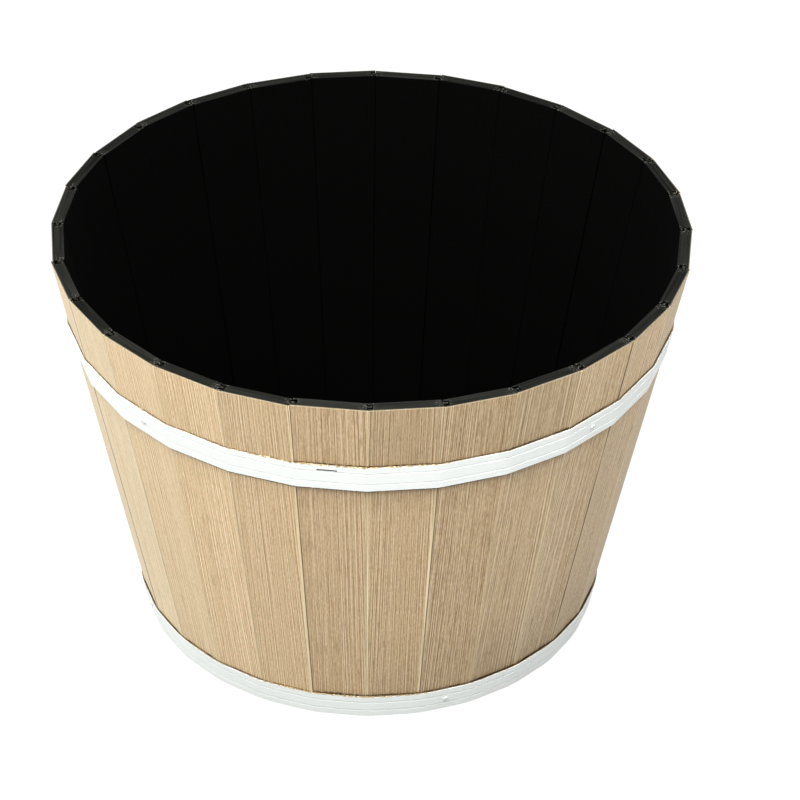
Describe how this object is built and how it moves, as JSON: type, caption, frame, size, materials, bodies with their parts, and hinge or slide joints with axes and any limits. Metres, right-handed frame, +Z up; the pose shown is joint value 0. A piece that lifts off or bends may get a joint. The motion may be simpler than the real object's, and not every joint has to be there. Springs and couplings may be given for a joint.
{
  "type": "flower pot",
  "caption": "Tapered round tub planter of tongued and grooved oak-faced boards round a slotted-in base, held by two white nailed hoops.",
  "frame": {"origin": "middle of the tub's footprint, on the floor", "axes": "+Z up along the tub's axis; +X through a seam between two staves; the picture's view is from -Y"},
  "size_m": [0.5992, 0.5997, 0.407],
  "materials": {
    "core_board": "matt black board, dark grey where the ends are sawn",
    "oak_face": "light oak with fine straight grain, satin",
    "base_board": "matt black board",
    "hoop": "satin white paint, thin brownish line along the cut edges",
    "nail": "satin white paint, duller than the hoops"
  },
  "bodies": {
    "root": {"stave_core_01": "core_board", "stave_core_02": "core_board", "stave_core_03": "core_board", "stave_core_04": "core_board", "stave_core_05": "core_board", "stave_core_06": "core_board", "stave_core_07": "core_board", "stave_core_08": "core_board", "stave_core_09": "core_board", "stave_core_10": "core_board", "stave_core_11": "core_board", "stave_core_12": "core_board", "stave_core_13": "core_board", "stave_core_14": "core_board", "stave_core_15": "core_board", "stave_core_16": "core_board", "stave_core_17": "core_board", "stave_core_18": "core_board", "stave_core_19": "core_board", "stave_core_20": "core_board", "stave_core_21": "core_board", "stave_core_22": "core_board", "stave_core_23": "core_board", "stave_core_24": "core_board", "stave_core_25": "core_board", "stave_core_26": "core_board", "stave_core_27": "core_board", "stave_core_28": "core_board", "stave_face_01": "oak_face", "stave_face_02": "oak_face", "stave_face_03": "oak_face", "stave_face_04": "oak_face", "stave_face_05": "oak_face", "stave_face_06": "oak_face", "stave_face_07": "oak_face", "stave_face_08": "oak_face", "stave_face_09": "oak_face", "stave_face_10": "oak_face", "stave_face_11": "oak_face", "stave_face_12": "oak_face", "stave_face_13": "oak_face", "stave_face_14": "oak_face", "stave_face_15": "oak_face", "stave_face_16": "oak_face", "stave_face_17": "oak_face", "stave_face_18": "oak_face", "stave_face_19": "oak_face", "stave_face_20": "oak_face", "stave_face_21": "oak_face", "stave_face_22": "oak_face", "stave_face_23": "oak_face", "stave_face_24": "oak_face", "stave_face_25": "oak_face", "stave_face_26": "oak_face", "stave_face_27": "oak_face", "stave_face_28": "oak_face", "base_board": "base_board", "upper_hoop": "hoop", "lower_hoop": "hoop", "hoop_nails": "nail"}
  },
  "joints": []
}
